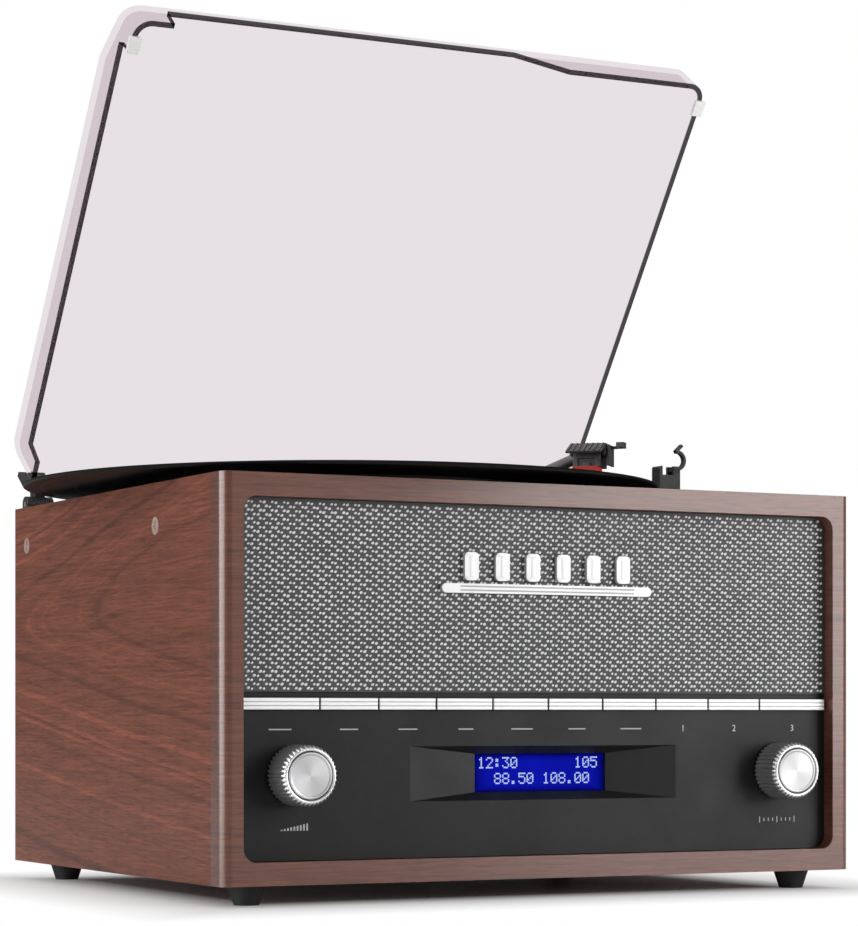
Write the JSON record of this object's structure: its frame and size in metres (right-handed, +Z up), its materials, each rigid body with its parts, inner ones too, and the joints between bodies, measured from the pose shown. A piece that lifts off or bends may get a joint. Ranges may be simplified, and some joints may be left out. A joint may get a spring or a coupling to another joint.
{
  "type": "stereo music centre",
  "caption": "Retro music centre: wood cabinet, cloth grille, push keys, lit display, two dials, and a belt-driven record deck with a tonearm under a hinged clear lid.",
  "frame": {"origin": "on the floor plane under the feet, below the middle of the whole object with its record and open lid", "axes": "+X to the right seen from the front, +Y from the front to the back, +Z up"},
  "size_m": [0.3528, 0.3024, 0.4085],
  "materials": {
    "walnut_wrap": "walnut-look foil on board, fine horizontal grain, satin",
    "black_board": "black-painted fibreboard, matt",
    "grille_cloth": "woven grey-black cloth with white flecks on a board",
    "chrome": "polished plating on plastic",
    "black_abs": "moulded black plastic, fine satin grain",
    "display": "lit blue liquid-crystal display",
    "lens": "tinted clear window",
    "circuit_board": "green circuit board with its parts",
    "metal_parts": "plated steel",
    "spun_aluminium": "turned aluminium with fine rings",
    "brass_parts": "turned brass",
    "rubber": "black rubber, matt",
    "platter_plastic": "moulded dark grey plastic",
    "vinyl_record": "pressed black vinyl with fine grooves and a plain red label",
    "red_plastic": "red moulded plastic",
    "clear_lid": "clear, faintly smoky moulded plastic",
    "white_plastic": "soft white plastic",
    "yellow_screws": "yellow-passivated steel"
  },
  "bodies": {
    "cabinet": {"front_frame": "walnut_wrap", "side_panel_left": "walnut_wrap", "side_panel_right": "walnut_wrap", "bottom_panel": "walnut_wrap", "back_panel": "black_board", "baffle_board": "black_board", "speaker_grille": "grille_cloth", "badge": "chrome", "control_panel": "black_abs", "display_lens": "lens", "lcd_module": "display", "control_board": "circuit_board", "main_board": "circuit_board", "encoders": "metal_parts", "speaker_left": "black_abs", "speaker_right": "black_abs", "deck_plate": "black_abs", "drive_motor": "metal_parts", "drive_belt": "rubber", "tonearm_base": "black_abs", "arm_rest": "black_abs", "hinge_bases": "black_abs", "hinge_pins": "metal_parts", "feet": "rubber", "cabinet_screws": "yellow_screws", "rear_sockets": "metal_parts"},
    "key_01": {"key_01": "chrome"},
    "key_02": {"key_02": "chrome"},
    "key_03": {"key_03": "chrome"},
    "key_04": {"key_04": "chrome"},
    "key_05": {"key_05": "chrome"},
    "key_06": {"key_06": "chrome"},
    "key_07": {"key_07": "chrome"},
    "key_08": {"key_08": "chrome"},
    "key_09": {"key_09": "chrome"},
    "key_10": {"key_10": "chrome"},
    "volume_dial": {"volume_knob": "black_abs", "volume_knob_cap": "spun_aluminium", "volume_shaft": "metal_parts"},
    "tune_plunger": {"tune_shaft": "metal_parts"},
    "tune_dial": {"tune_knob": "black_abs", "tune_knob_cap": "spun_aluminium"},
    "turntable": {"platter": "platter_plastic", "platter_mat": "rubber", "spindle": "metal_parts", "record": "vinyl_record"},
    "pulley": {"motor_pulley": "brass_parts"},
    "arm_yoke": {"tonearm_yoke": "black_abs"},
    "arm": {"tonearm_tube": "black_abs", "headshell": "black_abs", "cartridge": "black_abs", "stylus": "red_plastic"},
    "clip": {"rest_clip": "black_abs"},
    "cue_lever": {"cue_lever": "black_abs"},
    "cue_lift": {"cue_lift": "black_abs"},
    "speed_selector": {"speed_selector": "black_abs"},
    "auto_stop_switch": {"auto_stop_switch": "black_abs"},
    "lid": {"lid_cover": "clear_lid", "lid_brackets": "black_abs", "lid_bumpers": "white_plastic"}
  },
  "joints": [
    {"name": "key_01_push", "type": "slide", "parent": "cabinet", "child": "key_01", "axis": [0, 1, 0], "range_m": [0, 0.001], "stiffness_N_per_m": 1500},
    {"name": "key_02_push", "type": "slide", "parent": "cabinet", "child": "key_02", "axis": [0, 1, 0], "range_m": [0, 0.001], "stiffness_N_per_m": 1500},
    {"name": "key_03_push", "type": "slide", "parent": "cabinet", "child": "key_03", "axis": [0, 1, 0], "range_m": [0, 0.001], "stiffness_N_per_m": 1500},
    {"name": "key_04_push", "type": "slide", "parent": "cabinet", "child": "key_04", "axis": [0, 1, 0], "range_m": [0, 0.001], "stiffness_N_per_m": 1500},
    {"name": "key_05_push", "type": "slide", "parent": "cabinet", "child": "key_05", "axis": [0, 1, 0], "range_m": [0, 0.001], "stiffness_N_per_m": 1500},
    {"name": "key_06_push", "type": "slide", "parent": "cabinet", "child": "key_06", "axis": [0, 1, 0], "range_m": [0, 0.001], "stiffness_N_per_m": 1500},
    {"name": "key_07_push", "type": "slide", "parent": "cabinet", "child": "key_07", "axis": [0, 1, 0], "range_m": [0, 0.001], "stiffness_N_per_m": 1500},
    {"name": "key_08_push", "type": "slide", "parent": "cabinet", "child": "key_08", "axis": [0, 1, 0], "range_m": [0, 0.001], "stiffness_N_per_m": 1500},
    {"name": "key_09_push", "type": "slide", "parent": "cabinet", "child": "key_09", "axis": [0, 1, 0], "range_m": [0, 0.001], "stiffness_N_per_m": 1500},
    {"name": "key_10_push", "type": "slide", "parent": "cabinet", "child": "key_10", "axis": [0, 1, 0], "range_m": [0, 0.001], "stiffness_N_per_m": 1500},
    {"name": "volume_spin", "type": "hinge", "parent": "cabinet", "child": "volume_dial", "pos_m": [-0.107, -0.1314, 0.0557], "axis": [0, -1, 0], "continuous": true},
    {"name": "tune_push", "type": "slide", "parent": "cabinet", "child": "tune_plunger", "axis": [0, 1, 0], "range_m": [0, 0.0005], "stiffness_N_per_m": 4000},
    {"name": "tune_spin", "type": "hinge", "parent": "tune_plunger", "child": "tune_dial", "pos_m": [0.1398, -0.1314, 0.0557], "axis": [0, -1, 0], "continuous": true},
    {"name": "platter_spin", "type": "hinge", "parent": "cabinet", "child": "turntable", "pos_m": [-0.0256, -0.0004, 0.184], "axis": [0, 0, -1], "continuous": true},
    {"name": "pulley_spin", "type": "hinge", "parent": "cabinet", "child": "pulley", "pos_m": [0.05053, -0.0359, 0.174], "axis": [0, 0, -1], "continuous": true},
    {"name": "arm_swing", "type": "hinge", "parent": "cabinet", "child": "arm_yoke", "pos_m": [0.12839, 0.09067, 0.2066], "axis": [0, 0, 1], "range_deg": [-20.4, 20.4]},
    {"name": "arm_lift", "type": "hinge", "parent": "arm_yoke", "child": "arm", "pos_m": [0.12839, 0.09067, 0.2066], "axis": [-0.9478, 0.319, 0], "range_deg": [-0.75, 18]},
    {"name": "clip_turn", "type": "hinge", "parent": "cabinet", "child": "clip", "pos_m": [0.13736, -0.03711, 0.20125], "axis": [-0.0314, 0.9995, 0], "range_deg": [-80, 10]},
    {"name": "cue_lever_turn", "type": "hinge", "parent": "cabinet", "child": "cue_lever", "pos_m": [0.12839, 0.08767, 0.1942], "axis": [-1, 0, 0], "range_deg": [0, 60]},
    {"name": "cue_lift_slide", "type": "slide", "parent": "cabinet", "child": "cue_lift", "axis": [0, 0, 1], "range_m": [0, 0.0011]},
    {"name": "speed_slide", "type": "slide", "parent": "cabinet", "child": "speed_selector", "axis": [0, 1, 0], "range_m": [0, 0.016]},
    {"name": "auto_stop_slide", "type": "slide", "parent": "cabinet", "child": "auto_stop_switch", "axis": [0, 1, 0], "range_m": [0, 0.006]},
    {"name": "lid_hinge", "type": "hinge", "parent": "cabinet", "child": "lid", "pos_m": [0.0164, 0.1346, 0.187], "axis": [-1, 0, 0], "range_deg": [-54.4, 5]}
  ],
  "couplings": [
    {"joint": "pulley_spin", "follows": "platter_spin", "ratio": 14.444},
    {"joint": "cue_lift_slide", "follows": "cue_lever_turn", "m_per_rad": 0.00105}
  ]
}
